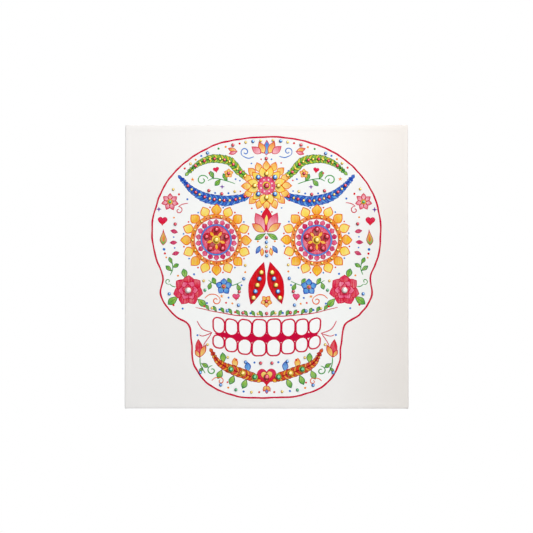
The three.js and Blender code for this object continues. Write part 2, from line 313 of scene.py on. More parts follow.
def stroke(spine, width, colour=crimson, twin=True):
    """A pen stroke along a curve, a little thinner at both ends."""
    last = len(spine) - 1
    left, right = [], []
    for i, p in enumerate(spine):
        ahead = spine[min(i + 1, last)] - spine[max(i - 1, 0)]
        swell = 0.45 + 0.55 * max(0, sin(pi * (i / last))) ** 0.4
        side = 1j * ahead / (abs(ahead) or 1) * (1.2 * width * swell) / 2
        left.append(p + side)
        right.append(p - side)
    lay(left + right[::-1], colour, twin, pen_load)


def scroll(spiral, tail, widths, colour=crimson):
    """A spiral (its centre, radius, start and turn) with a tail that runs on from its rim."""
    stroke(curl(*spiral), widths[0], colour)
    stroke(smooth(tail), widths[1], colour)


def shape(points, fill, line, width, twin, load):
    """A filled outline with a pen line round it."""
    lay(inset(points, -width / 2), line, twin, pen_load)
    lay(inset(points, width / 2), fill, twin, load)


def dot(centre, radius, colour, twin=True, line=None):
    """A round dot of pen, or a disc of pencil with a pen line round it."""
    if line:
        lay(arc(centre, radius + 0.5, step=1.0), line, twin, pen_load)
    lay(arc(centre, radius, step=1.0), colour, twin, pencil_load if line else pen_load)


def bead(place, colour, twin=True):
    """The place of a small stick-on gem."""
    beads[colour].append(place)
    if twin:
        beads[colour].append(-place.conjugate())


def trail(places, marks, radius=1.6):
    """Marks at a few places: a word is a gem of that name, and a colour is a dot of ink."""
    for place, mark in zip(places, marks):
        if isinstance(mark, str):
            bead(place, mark)
        else:
            dot(place, radius, mark)


def petal(root, angle, length, width, first, last, line=crimson, twin=True, tip=0.62, pen=1.0,
          load=pencil_load):
    """A petal or leaf from its root; tip says how far along it is widest."""
    way = cmath.rect(1, radians(angle))
    parts = max(6, round(length / 1.6))
    edge = []
    for k in range(parts + 1):
        t = k / parts
        edge.append((t * length, sin(pi * t ** (0.62 / tip)) * width / 2))
    points = [root + way * complex(x, -y) for x, y in edge]
    points += [root + way * complex(x, y) for x, y in reversed(edge[1:-1])]
    end = root + way * length
    if line:
        shape(points, along(root, end, first, last), line, pen, twin, load)
    else:
        lay(points, along(root, end, first, last), twin, load)
    return end


def leaf(root, angle, length, width):
    end = petal(root, angle, length, width, lime, green, pine_green, tip=0.45, pen=0.9)
    stroke([root + (end - root) * k / 6 for k in range(1, 6)], 0.5, pine_green)


def blossom(centre, inner, outer, count, wide, colours, line=crimson, twin=True, start=90.0, tip=0.62,
            pen=1.0):
    """A ring of petals from an inner to an outer radius; the pairs of colours take turns."""
    for k, angle, root in ring_of(centre, inner, count, start):
        first, last = colours[k % len(colours)]
        petal(root, angle, outer - inner, wide, first, last, line, twin, tip, pen)


def heart(centre, size, first, last, angle=0.0, twin=True):
    turned = cmath.rect(size / 32, radians(angle))
    parts = max(20, round(size * 1.6))
    points = []
    for k in range(parts):
        a = 2 * pi * k / parts
        z = 13 * cos(a) - 5 * cos(2 * a) - 2 * cos(3 * a) - cos(4 * a)
        points.append(centre + turned * complex(16 * sin(a) ** 3, z))
    top, foot = centre + turned * 12j, centre - turned * 16j
    shape(points, along(top, foot, first, last), crimson, 0.9, twin, marker_load)


def sparkle(centre, size, colour, points=4):
    lay([centre + cmath.rect(size if k % 2 == 0 else size * 0.36, pi / points * k + pi / 2)
         for k in range(2 * points)], colour, load=pen_load)


def feather(spine, width, pairs, line, colours=()):
    """A curved plume: rows of barbs that lap over each other, a rib, and a row of small gems down it."""
    def wide(t):
        return width * sin(pi * min(1, t * 0.9 + 0.1)) ** 0.75 * (1.12 - 0.45 * t)

    count = round(len(spine) / 3.1)
    for k in range(count):
        at = len(spine) * k // count
        heading = spine[min(at + 2, len(spine) - 1)] - spine[max(at - 2, 0)]
        angle = degrees(cmath.phase(heading))
        first, last = pairs[k % len(pairs)]
        reach = wide(at / len(spine)) * (0.8 if k % 2 else 0.74)
        for side in (1, -1):
            petal(spine[at], angle + side * (38 - 12 * k / count), max(4, reach), 5.6, first, last, line,
                  tip=0.66, pen=0.8, load=plume_load)
    petal(spine[-2], angle, 8, 4.6, first, last, line, tip=0.5, pen=0.8, load=plume_load)
    stroke(spine, 1.3, line)
    beaded = max(3, round(len(spine) / 5.6))
    if colours:
        for k in range(1, beaded - 1):
            bead(spine[len(spine) * k // beaded], colours[k % len(colours)])


# The skull: a round dome, temples drawn in a little, wide cheekbones and a broad jaw
dome = [186j, 60 + 179j, 110 + 155j, 146 + 117j, 163 + 68j, 161 + 20j, 149 - 14j, 151 - 42j,
        134 - 68j, 112 - 84j, 107 - 112j, 103 - 142j, 82 - 170j, 44 - 185j, -188j]
skull = smooth(dome + [-p.conjugate() for p in reversed(dome[1:-1])], closed=True)
skull_line = 2.5
lay(inset(skull, -skull_line / 2), crimson, False, pen_load)
# Painted counter-shade: the skull's white is a little greyer towards the upper right, where the key lamp
# falls strongest, and whitest towards the lower left
counter_shaded_white = along(110 + 170j, -60 - 188j, tint("f4f4f3"), tooth_white)
lay(inset(skull, skull_line / 2), counter_shaded_white, False, no_load)

# Two plumes sweep from behind the marigold to the temples
feather(smooth([27 + 103j, 36 + 99j, 60 + 94.5j, 88 + 99j, 108 + 111j, 122 + 126j]), 18,
        [(royal, azure), (azure, sky)], royal, ("gold", "red"))
feather(smooth([27 + 127j, 36 + 134j, 52 + 150j, 76 + 154.5j, 98 + 147j, 111 + 136j]), 15,
        [(green, lime), (lime, yellow)], pine_green, ("red", "gold"))

# Forehead: a marigold with two rows of petals, round a pink disc and a ring of gems
middle = 116j
blossom(middle, 22, 36, 16, 10, [(lemon, amber)], orange, False, tip=0.7)
blossom(middle, 12, 28, 12, 10.5, [(lemon, yellow)], orange, False, 75, 0.7)
for k, angle, root in ring_of(middle, 38.6, 16, 90 + 11.25):
    dot(root, 1.2, azure if k % 2 else scarlet, False)
dot(middle, 12.5, around(middle, 4, 12.5, pink, rose), False, crimson)
for k, angle, root in ring_of(middle, 8.8, 8, 90 + 22.5):
    dot(root, 1.1, ground, False)
dot(middle, 5.6, yellow, False, crimson)

# Crown: a fan of drops over the marigold, with scrolls and beads under the dome's edge
for k, (angle, first, last) in enumerate([(90, sky, azure), (64, lemon, orange), (38, blush, rose)]):
    petal(156j + cmath.rect(4 + 3.2 * k, radians(angle)), angle, 21 - 2.4 * k, 9.5, first, last,
          twin=k > 0, tip=0.74)
bead(155j, "red", False)
scroll((31 + 165j, 6.5, -60, 400), [34.3 + 159.4j, 26 + 156j, 18 + 158j], (1.3, 1.2), azure)
trail((39 + 177j, 49 + 174.8j, 59 + 172j, 69 + 169j, 85 + 162.6j, 93.5 + 158.6j, 101.5 + 153.6j, 109 + 148j,
       117 + 141.4j), (scarlet, "red", amber, green, "blue", azure, amber, "gold", scarlet))
petal(43 + 165.5j, 20, 13, 6, lemon, orange, tip=0.6)
petal(43 + 165j, -16, 11, 5, blush, rose, tip=0.6)
trail((20 + 180j, 30 + 178.6j, 9 + 180.8j), ("blue", "gold", "gold"))

# Between the plumes: a sprig with a blossom and a heart
scroll((92 + 124j, 8, 170, -420), [45 + 119j, 60 + 124j, 76 + 126j, 84 + 122.6j], (1.4, 1.2), green)
for root, angle in ((56 + 122.6j, 62), (66 + 125j, -48), (76 + 125.6j, 68)):
    leaf(root, angle, 12, 6)
blossom(54 + 134j, 1.6, 6.4, 5, 4.8, [(lemon, amber)], orange, tip=0.68, pen=0.7)
bead(54 + 134j, "red")
heart(72 + 139j, 8, rose, scarlet, -12)
trail((46 + 108j, 55 + 105j, 64.5 + 104j, 74 + 105.4j, 83 + 108.6j),
      ("gold", azure, "red", azure, "red"), 1.5)
trail((82 + 134j, 44 + 125.6j), (scarlet, azure), 1.4)
sparkle(64 + 114.6j, 3.6, violet)
sparkle(106 + 125j, 3.4, amber, 5)

# Temples: a daisy, a heart, a drop and a sprig
daisy = 139 + 93j
blossom(daisy, 3.2, 12, 7, 6.4, [(blush, rose)], tip=0.7)
dot(daisy, 3.4, yellow, line=crimson)
bead(daisy, "green")
heart(149 + 66j, 13, rose, scarlet)
petal(147.6 + 53j, -88, 22, 9, lemon, green, tip=0.35)
petal(147.6 + 49j, -88, 14, 4.4, amber, orange, None, tip=0.35)
for k, place in enumerate((147 + 25j, 146 + 19j, 144.4 + 13j)):
    dot(place, 2 - 0.3 * k, (azure, scarlet, amber)[k])
sparkle(155 + 82j, 4, violet)
scroll((126 + 81j, 5.6, 80, 380), [127 + 86.6j, 121 + 90j, 113 + 91j], (1.2, 1.1))
trail((114 + 97j, 126 + 104j, 134 + 111j, 131 + 61j), (azure, scarlet, "gold", "red"))
dot(133 + 70.5j, 1.4, amber)
stroke(smooth([138 - 12j, 135 - 3j, 136 + 7j]), 1.1, green)
leaf(136 - 6j, 38, 11, 5.6)
leaf(135.4 - 1j, 150, 10, 5.2)
leaf(136 + 4j, 66, 10, 5)

# Eyes: round daisies, ringed with beads, and three drops outside each
eye = 72 + 38j
blossom(eye, 35, 51, 16, 13.5, [(amber, yellow), (yellow, lemon)], orange, tip=0.66, pen=1.2)
dot(eye, 36.5, around(eye, 31, 36.5, orange, amber), line=scarlet)
trail([place for k, angle, place in ring_of(eye, 33.6, 28)], (ruby, "gold") * 14, 1.1)
dot(eye, 30.5, ground, line=crimson)
blossom(eye, 22, 29.8, 18, 7.4, [(magenta, rose), (rose, pink)], magenta, tip=0.7, pen=0.7)
dot(eye, 22.5, around(eye, 17, 22.5, sky, azure), line=crimson)
dot(eye, 20, around(eye, 4, 20, blush, rose), line=royal)
blossom(eye, 5, 20.2, 5, 12.5, [(ruby, scarlet)], tip=0.64)
blossom(eye, 4.5, 15, 5, 5, [(yellow, amber)], start=54, tip=0.6)
dot(eye, 6, yellow, line=crimson)
for k, angle, place in ring_of(eye, 47.5, 16, 90 + 11.25):
    dot(place, 1.3, scarlet if k % 2 else azure)
for angle in (-18, -3, 12):
    petal(eye + cmath.rect(56.5, radians(angle)), angle, 10, 5.4, rose, magenta, magenta, tip=0.64, pen=0.8)
for angle in (-10.5, 4.5):
    dot(eye + cmath.rect(61, radians(angle)), 1.2, azure)

# Between the eyes: a tulip on a stem of beads, with small drops at its sides
petal(50j, 90, 34, 15, rose, scarlet, twin=False, tip=0.5, load=marker_load)
petal(1.5 + 50j, 62, 30, 13, blush, rose, tip=0.55)
petal(2 + 49j, 34, 22, 10, lemon, orange, tip=0.55)
petal(58j, 90, 17, 5.5, yellow, lemon, crimson, False)
leaf(1 + 47j, -28, 17, 7)
for k in range(5):
    bead((41 - 6.4 * k) * 1j, ("red", "blue", "gold")[k % 3], False)
petal(9 + 29j, -58, 12, 5.4, sky, royal, royal, tip=0.6)
petal(6 + 26j, -84, 11, 5, lemon, amber, orange, tip=0.6)
dot(12 + 36j, 1.5, amber)

# Nose: two leaning drops of red, a blossom under them and a line of beads outside each
petal(4.6 + 5j, -73.3, 61, 21.5, scarlet, scarlet, tip=0.62, pen=1.4, load=marker_load)
blossom(-50j, 1.8, 8.4, 5, 6, [(lemon, amber)], orange, False, -90, 0.68)
bead(-50j, "red", False)
trail([31 + 2j - 9.5j * k + 1.6 * k - 2 * sin(k) for k in range(6)],
      ("gold", amber, "blue", azure, "red", green), 1.5)

# Cheeks: a rose with leaves and tendrils
cheek = 112 - 34j
leaf(cheek + 14 - 8j, -38, 19, 10)
leaf(cheek - 13 - 12j, -136, 17, 9)
leaf(cheek + 4 + 17j, 75, 14, 8)
scroll((cheek + 29 + 13j, 4.6, 240, 380), [cheek + 26.7 + 9j, cheek + 23 + 6j, cheek + 18 + 5j], (1.1, 1.1),
       green)
blossom(cheek, 8, 21.5, 7, 15.4, [(scarlet, rose)], tip=0.66)
blossom(cheek, 3, 14.5, 6, 11, [(rose, pink)], start=60, tip=0.66)
blossom(cheek, 1, 9, 5, 7.5, [(scarlet, rose)], tip=0.66)
dot(cheek, 4.4, blush, line=crimson)
trail((cheek + 27 - 5j, cheek - 22 + 13j, cheek - 8 + 23j), ("blue", "gold", azure))
dot(cheek + 15 + 21j, 1.5, amber)
dot(cheek + 21 - 21j, 1.6, scarlet)
dot(cheek + 8 - 26j, 1.5, azure)

# Under the eyes: a spray of blossom over a scroll
bluebell = 61 - 29j
stroke(smooth([35 - 21j, 50 - 27j, 68 - 27j, 83 - 20j]), 1.1, green)
for at, angle in ((42 - 24.2j, -110), (50 - 26.5j, 60), (72 - 26j, 62), (79 - 22.5j, -70)):
    leaf(at, angle, 11, 5.6)
blossom(bluebell, 2.6, 11.5, 5, 8.6, [(sky, azure)], royal, tip=0.68)
dot(bluebell, 3.2, yellow, line=royal)
bead(bluebell, "red")
heart(43 - 43j, 10, pink, rose)
scroll((72 - 49j, 6.4, 120, 400), [68.8 - 43.5j, 74 - 40.6j, 82 - 41j, 88 - 46j], (1.3, 1.2), orange)
trail((54 - 44.5j, 58 - 52j, 49 - 53j, 85 - 53j, 88 - 34j, 40 - 55j),
      (azure, scarlet, amber, azure, "green", "blue"), 1.5)
sparkle(64 - 42.6j, 3.2, amber, 5)

# Mouth: a garland over two rows of rounded teeth, with smile lines at its ends
mouth_half, mouth_lift = 84, 9
garland_height, gum_height, gum_depth, gum_steps = -72, -103, 6.4, 25
tooth_widths, tooth_rows = (21, 20, 19, 17.5), ((-76, -102), (-104.5, -128))
tooth_gap, tooth_pen, flat_end = 0.7, 1.1, 7.0


def grin(x, z):
    """A place in the mouth, lifted towards the mouth's ends."""
    return complex(x, z + (x / mouth_half) ** 2 * mouth_lift)


def gum_edge(k, side):
    return grin(3 * k, gum_height + side * gum_depth * (1 - (k / gum_steps) ** 4))


stroke([grin(3 * k, garland_height) for k in range(-34, 35)], 1.3, crimson, False)
for k, mark in enumerate(("gold", azure, "red", scarlet, "blue", azure, "gold", scarlet), 1):
    leaf(grin(11 * k - 5.5, garland_height + 0.6), 58, 9, 4.6)
    trail([grin(11 * k + 1.2, garland_height + 4.4)], [mark])
bead(grin(0, garland_height + 4.5), "red", False)

gums = [gum_edge(k, -1) for k in range(-gum_steps, gum_steps + 1)]
gums += [gum_edge(k, 1) for k in range(gum_steps - 1, -gum_steps, -1)]
lay(gums, crimson, False, pen_load)
for row, (high, low) in enumerate(tooth_rows):
    x = 0
    for k, wide in enumerate(tooth_widths):
        left, right = x + tooth_gap, x + wide - tooth_gap
        top, foot = (high, low + k * 1.6) if row else (high - k * 1.3, low)
        round_end = min(9.2, wide / 2 - 0.9)
        crown, base = (round_end, flat_end) if row else (flat_end, round_end)
        tooth = []
        for place, radius, start in ((complex(right - base, foot + base), base, 270),
                                     (complex(right - crown, top - crown), crown, 0),
                                     (complex(left + crown, top - crown), crown, 90),
                                     (complex(left + base, foot + base), base, 180)):
            tooth += [grin(p.real, p.imag) for p in arc(place, radius, start, 90, 1.4)]
        lay(inset(tooth, -tooth_pen), crimson, True, pen_load)
        lay(inset(tooth, tooth_pen), tooth_white, True, no_load)
        x += wide
stroke(smooth([grin(78, -103), 92 - 90j, 100 - 78j]), 1.3)
stroke(smooth([grin(78, -103), 91 - 100j, 97 - 98j]), 1.1)
stroke(smooth([grin(79, -104), 87 - 108j, 90 - 114j]), 1.1)

# Jaw: a small tulip with a sprig beside the teeth
petal(95 - 130j, 84, 25, 10, rose, scarlet, tip=0.55)
petal(95 - 130j, 116, 19, 7.4, lemon, orange, tip=0.55)
petal(95.5 - 130j, 58, 12, 5.4, lemon, orange, tip=0.55)
stroke(smooth([95 - 130j, 94 - 141j, 88 - 153j]), 1.3, green)
leaf(93 - 139j, -150, 11, 5.5)
leaf(90.6 - 145j, -48, 8, 4)
trail((84 - 112j, 99 - 98.5j, 95 - 152j), ("gold", azure, "blue"), 1.5)

# Chin: a heart with a garland, whose berries are gems, and beads under it
stroke(curl(78 - 149j, 6.8, 95, -400), 1.4, green)
for place, first, last, line in ((25 - 156j, sky, azure, royal), (43 - 150.5j, lemon, amber, orange),
                                 (60 - 143j, lime, green, pine_green)):
    petal(place + 1 + 5.5j, 84, 14, 8, first, last, line, tip=0.55)
    petal(place + 4 - 5j, -66, 14, 8, lime, green, pine_green, tip=0.5)
feather(smooth([4 - 161j, 11 - 160.5j, 25 - 156.2j, 42 - 150j, 58 - 144j, 70 - 135.5j, 77 - 124j]), 17,
        [(scarlet, orange), (orange, yellow)], ruby)
heart(-157j, 27, rose, scarlet, twin=False)
heart(-156.5j, 17, lemon, amber, twin=False)
for place, colour in ((17 - 158j, lime), (34 - 152.5j, yellow), (51 - 147j, lime)):
    dot(place, 4.3, colour, line=ruby)
trail([complex(11 + 11 * k, -180 + 0.42 * k * k) for k in range(6)],
      (scarlet, "gold", azure, "green", amber, "blue"))
petal(-171j, -90, 11, 6, sky, azure, twin=False)
petal(-171j, -56, 9, 5, lemon, orange)
trail((8 - 138.5j, 17 - 137.5j, 30 - 136.2j, 43 - 133.4j, 55 - 130j),
      ("red", azure, "blue", scarlet, "gold"))
scroll((66 - 164j, 5, 60, 380), [68.5 - 159.7j, 74 - 160j, 79 - 164j], (1.2, 1.1), orange)
dot(56 - 165.5j, 1.4, scarlet)


# The cloth's mesh: the drawn front, and rings of cloth from its rim over the lip, round the back and inside
def swing(p):
    """The small unevenness of a drawing made by hand, which moves neighbours together."""
    x, z = p.real, p.imag
    return p + complex(0.4 * sin(0.071 * z + 1.1) + 0.22 * sin(0.19 * z + 0.13 * x),
                       0.4 * sin(0.067 * x + 0.6) + 0.22 * sin(0.17 * x - 0.15 * z + 2.0))


def soft_step(x):
    x = min(1.0, max(0.0, x))
    return x * x * (3 - 2 * x)


lip_fall, fall_start, fall_width = 0.2, 6.0, 3.6
belly, belly_start, belly_width = 0.16, 8.0, 18.0


def sag(x, z):
    """How far the cloth lies back from the lip's level, in millimetres."""
    edge = half - max(abs(x), abs(z))
    return (lip_fall * soft_step((edge - fall_start) / fall_width)
            + belly * soft_step((edge - belly_start) / belly_width))


side_steps, corner_steps = 50, 5


def loop(reach, corner, waver=0.0):
    """A square ring of places with rounded corners, its sides uneven by up to waver."""
    places = []
    for quarter in range(4):
        turned = 1j ** quarter
        for k in range(side_steps):
            t = 2 * k / side_steps - 1
            uneven = waver * (sin(9 * t + 2 * quarter) * 0.6 + sin(23 * t + quarter) * 0.4) * (1 - t * t)
            places.append(turned * complex(reach + uneven, (reach - corner) * t))
        for k in range(corner_steps):
            places.append(turned * (complex(reach - corner, reach - corner)
                                    + cmath.rect(corner, k / corner_steps * pi / 2)))
    return places


rim_half, rim_corner = half - edge_radius, 0.8
rim = loop(rim_half, rim_corner)
ink = [([swing(p) for p in points], paint, load) for points, paint, load in ink]

# The front is cut along every outline and, over the lip's fall, along lines close to the rim
places = list(rim)
edges = [(k, (k + 1) % len(rim)) for k in range(len(rim))]
lip_lines = [half - d for d in (3.4, 5.8, 7.0, 8.3, 9.8, 12.5)]
grid = np.arange(-half + pitch, half - pitch / 2, pitch)
places += [complex(x, z) for x in grid for z in grid]
places += [complex(s * x, z) for z in grid for s in (1, -1) for x in lip_lines]
places += [complex(x, s * z) for x in grid for s in (1, -1) for z in lip_lines]
for points, _, _ in ink:
    first = len(places)
    places += points
    edges += [(first + k, first + (k + 1) % len(points)) for k in range(len(points))]
one_place = 0.004
flat, _, faces, kept, _, _ = delaunay_2d_cdt([Vector((p.real, p.imag)) for p in places], edges, [], 0,
                                             one_place)
moved = {old: new for new, numbers in enumerate(kept) for old in numbers}
flat = np.array([complex(*v) for v in flat])
faces = np.array(faces)

# Each face takes the outline that was laid last over its middle
centres = flat[faces].mean(axis=1)
topmost = np.full(len(faces), -1)
for number, (points, _, _) in enumerate(ink):
    xs, zs = [p.real for p in points], [p.imag for p in points]
    near = np.nonzero((centres.real > min(xs)) & (centres.real < max(xs))
                      & (centres.imag > min(zs)) & (centres.imag < max(zs)))[0]
    p = centres[near]
    winding = np.zeros(len(near), int)
    for a, b in zip(points, points[1:] + points[:1]):
        if a.imag == b.imag:
            continue
        up = 1 if b.imag > a.imag else -1
        reached = (min(a.imag, b.imag) <= p.imag) & (p.imag < max(a.imag, b.imag))
        beyond = p.real < (b.real - a.real) * (p.imag - a.imag) / (b.imag - a.imag) + a.real
        winding += up * (reached & beyond)
    topmost[near[winding > 0]] = number

# Colour map: the outer cloth unfolds round the front, its edges at half size, and the inner side is small
vertices = [(p.real, canvas_front + sag(p.real, p.imag), p.imag) for p in flat]
polygons, colours, loads, maps, inner = [], [], [], [], []
outer_share, inner_share, margin = 0.86, 0.12, 0.004
widest, inner_widest, inner_start = rim_half + 20.5, 245, 242


def outer_map(p):
    return tuple(margin + outer_share * (0.5 + 0.5 * c / widest) for c in (p.real, p.imag))


def inner_map(p):
    return tuple(1 - margin - inner_share * (0.5 - 0.5 * c / inner_widest) for c in (p.real, p.imag))


def add_face(corners, corner_maps, side=0, corner_colours=None, load=no_load):
    """One face of the cloth; side is 0 for its primed side and 1 for its raw one."""
    polygons.append(corners)
    colours.extend(corner_colours or [bare] * len(corners))
    loads.extend([load] * len(corners))
    maps.extend(corner_maps)
    inner.append(side)


for face, number in zip(faces, topmost):
    corners = [flat[v] for v in face]
    if turning(corners) < 0:
        face, corners = face[::-1], corners[::-1]
    paint, load = (lambda p: bare, no_load) if number < 0 else ink[number][1:]
    add_face([int(v) for v in face], [outer_map(p) for p in corners],
             corner_colours=[paint(p) for p in corners], load=load)

# The cloth's section from its rim, outside and then inside: reach from the middle, and place along Y
quarter_turn = [radians(d) for d in (15, 30, 45, 60, 75, 90)]
outer_rings = [(rim_half + edge_radius * sin(a), canvas_front + edge_radius * (1 - cos(a)))
               for a in quarter_turn]
outer_rings += [(half, y) for y in (-13.5, -9.0, -4.5, -back_radius)]
outer_rings += [(half - back_radius * (1 - cos(a)), back_radius * (sin(a) - 1)) for a in quarter_turn[1::2]]
outer_rings += [(reach, 0.0) for reach in (half - 7, half - 13, half - flap)]
lining, lining_front, soft_edge = half - thickness, canvas_front + thickness, 0.15
back_crease, front_crease = 0.5, 1.2
inner_rings = [(half - flap - soft_edge, -soft_edge), (half - flap - soft_edge, soft_edge - thickness)]
inner_rings += [(reach, -thickness) for reach in (half - flap, half - 10, lining - back_crease)]
inner_rings += [(lining, y) for y in (-thickness - back_crease, -9.0, lining_front + front_crease)]
inner_rings += [(lining - front_crease, lining_front)]
inner_rings += [(reach, lining_front + sag(reach, 0)) for reach in (196.5, 193, 189, 130, 65)]
mitred, turned_corner, fray = 0.5, 2.4, 0.5
last, run = (rim_half, canvas_front), 0.0
below, below_map = [moved[k] for k in range(len(rim))], rim
for number, (reach, y) in enumerate(outer_rings + inner_rings):
    outside = number < len(outer_rings)
    if number == len(outer_rings):
        run, below_map = 0.0, loop(inner_start, mitred)
    run += abs(complex(reach - last[0], y - last[1]))
    # The inner side's corners are tighter, so that they clear the corners of the bars
    drawn_in = (half - reach) * (1 if outside else 2)
    corner = max(mitred, turned_corner - drawn_in) if outside or y < -back_radius else mitred
    ring = loop(reach, corner, fray if abs(reach - (half - flap)) < 0.2 else 0.0)
    ring_map = loop(rim_half + run / 2, rim_corner) if outside else loop(inner_start - run, mitred)
    above = list(range(len(vertices), len(vertices) + len(ring)))
    vertices += [(p.real, y, p.imag) for p in ring]
    to_map = outer_map if outside else inner_map
    for k in range(len(ring)):
        n = (k + 1) % len(ring)
        spots = [to_map(p) for p in (below_map[k], ring_map[k], ring_map[n], below_map[n])]
        add_face([below[k], above[k], above[n], below[n]], spots, 0 if outside else 1)
    below, below_map, last = above, ring_map, (reach, y)
add_face(below[::-1], [inner_map(p) for p in below_map[::-1]], 1)

# Folded corners: a layer lies flat on the top and bottom edges, and another on the back, each with a round
# crease. A layer's levels say how far its outline is drawn in, and how high that lies over its seat.
fold_back, fold_reach, fold_corner = -thickness / 2, 17.2, half - thickness / 2
fold_levels = [(0.35, -0.25), (0.0, -0.1), (0.0, thickness - 0.28), (0.1, thickness - 0.1),
               (0.32, thickness)]
map_scale, tuck = 0.0019, 0.6


def fold(outline, place, spot, outward):
    """A flat three-cornered layer with a rounded rim, drawn in its own plane and put where place says."""
    rounded = smooth([p + (q - p) * t for p, q in zip(outline, outline[1:] + outline[:1])
                      for t in (0.06, 0.35, 0.65, 0.94)], closed=True, step=2.0)
    if turning(rounded) < 0:
        rounded = rounded[::-1]
    base, count, rows = len(vertices), len(rounded), len(fold_levels)
    for by, level in fold_levels:
        vertices.extend(place(p, level) for p in inset(rounded, by))
    walls = [[base + row * count + k, base + row * count + (k + 1) % count,
              base + (row + 1) * count + (k + 1) % count, base + (row + 1) * count + k]
             for row in range(rows - 1) for k in range(count)]
    caps = [list(range(base + (rows - 1) * count, base + rows * count)),
            list(reversed(range(base, base + count)))]
    for ids in walls + caps:
        ids = ids if outward else ids[::-1]
        offsets = [rounded[(v - base) % count] - rounded[0] for v in ids]
        add_face(ids, [(spot[0] + map_scale * d.real, spot[1] + map_scale * d.imag) for d in offsets])


for row, (side, end) in enumerate(((1, 1), (-1, 1), (1, -1), (-1, -1))):
    corner = side * fold_corner
    fold([complex(corner, fold_back), complex(corner - side * fold_reach, fold_back),
          complex(corner, fold_back - fold_reach)],
         lambda p, level, end=end: (p.real, p.imag, end * (half + level)), (0.9, 0.05 + 0.2 * row), end > 0)
    fold([complex(corner, end * fold_corner), complex(corner - side * (flap - tuck), end * fold_corner),
          complex(corner, end * (fold_corner - flap + tuck))],
         lambda p, level: (p.real, level, p.imag), (0.9, 0.15 + 0.2 * row), False)

cloth_mesh = bpy.data.meshes.new("canvas_cloth")
cloth_mesh.from_pydata([(x / 1000, y / 1000, (z + middle_height) / 1000) for x, y, z in vertices], [],
                       polygons)
cloth_mesh.polygons.foreach_set("use_smooth", [True] * len(polygons))
cloth_mesh.polygons.foreach_set("material_index", inner)
drawn = cloth_mesh.color_attributes.new("drawn", "FLOAT_COLOR", "CORNER")
drawn.data.foreach_set("color", [c for colour, load in zip(colours, loads) for c in (*colour, load)])
cloth_mesh.uv_layers.new(name="OFBake").data.foreach_set("uv", [c for spot in maps for c in spot])
cloth = bpy.data.objects.new("canvas_cloth", cloth_mesh)
bpy.context.collection.objects.link(cloth)

# The primed side's ink skips the weave's hollows where it is pencil, and is dense where it is pen or marker
warp_width, weft_width = 0.00072, 0.00078


def weaving(finish, distortion):
    """The threads of a plain weave, up and across."""
    here = finish.place()
    return [finish.node("ShaderNodeTexWave", {"bands_direction": way}, out="Fac", Vector=here,
                        Scale=wave_span / width, Distortion=distortion, Detail=1.0, Detail_Scale=0.4)
            for way, width in (("X", warp_width), ("Z", weft_width))]


outer_cloth = Finish("primed_cloth")
here = outer_cloth.place()
picture = outer_cloth.node("ShaderNodeVertexColor", {"layer_name": "drawn"})
load = outer_cloth.node("ShaderNodeVertexColor", {"layer_name": "drawn"}, out="Alpha")
warp, weft = weaving(outer_cloth, 1.2)
weave = (warp + weft) * 0.5
slub = (outer_cloth.noise(outer_cloth.place((1.0, 1.0, 0.08)), 700.0) * 0.5
        + outer_cloth.noise(outer_cloth.place((0.08, 1.0, 1.0)), 640.0) * 0.5)
tooth = (weave * 0.5 + slub * 0.9 + outer_cloth.noise(here, 900.0) * 0.4).between(0.75, 1.25)
hatch = outer_cloth.noise(outer_cloth.place((1.0, 1.0, 0.16), turn=(0, radians(38), 0)), 620.0, 1.5)
pressure = outer_cloth.noise(here, 130.0, 1.0)
pencil = (load * (1 - load) * 4).between(0.1, 0.9)
pale = pencil * (hatch * 0.8 + pressure * 0.4 + tooth * 0.25 - 0.52)
colour = outer_cloth.mix(pale.between(0.0, 0.75) * 0.4, picture, tint("fcfbf8"))
dense = outer_cloth.mix(load.between(0.85, 1.0) * (pressure * 0.3), colour, tint("f0a0b4"), "MULTIPLY")
# Painted shade: the cloth is darker and warmer towards its right side, with a faint random mottle over all
# of it
rightwards = outer_cloth.node("ShaderNodeSeparateXYZ", {}, here)
right_shade_and_mottle = rightwards.between(0.09, 0.21) * 0.38 + outer_cloth.noise(here, 14.0) * 0.08
shaded = outer_cloth.mix(right_shade_and_mottle, dense, tint("e6ded6"), "MULTIPLY")
outer_cloth.done(Base_Color=shaded, Roughness=0.82, Specular_IOR_Level=0.05,
                 Normal=outer_cloth.bump(weave * 0.6 + slub * 0.7, 0.00022, 0.55))

inner_cloth = Finish("raw_cloth")
warp, weft = weaving(inner_cloth, 1.5)
threads = (warp + weft) * 0.5
flecks = inner_cloth.noise(inner_cloth.place((1.0, 1.0, 0.3)), 700.0).between(0.62, 0.78)
colour = inner_cloth.mix(threads * 0.6 + 0.2, tint("e2d6bf"), tint("f3ebdb"))
colour = inner_cloth.mix(flecks * 0.35, colour, tint("b9a680"))
inner_cloth.done(Base_Color=colour, Roughness=0.9, Specular_IOR_Level=0.2,
                 Normal=inner_cloth.bump(threads, 0.0003, 0.7))
cloth_mesh.materials.append(outer_cloth.made)
cloth_mesh.materials.append(inner_cloth.made)
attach(cloth, "frame")
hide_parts("canvas")


# Staples: flat steel wire crowns driven through the cloth's flaps into the bars, seven to a side and one on
# each folded corner. They were put in by hand, so none is quite in line.
def clear():
    bpy.ops.object.select_all(action="DESELECT")


def take(*pieces):
    """Selects these objects only, and makes the first the active one."""
    clear()
    for piece in pieces:
        piece.select_set(True)
    bpy.context.view_layer.objects.active = pieces[0]


def start(name):
    """Names the object that was just added."""
    piece = bpy.context.object
    piece.name = piece.data.name = name
    return piece


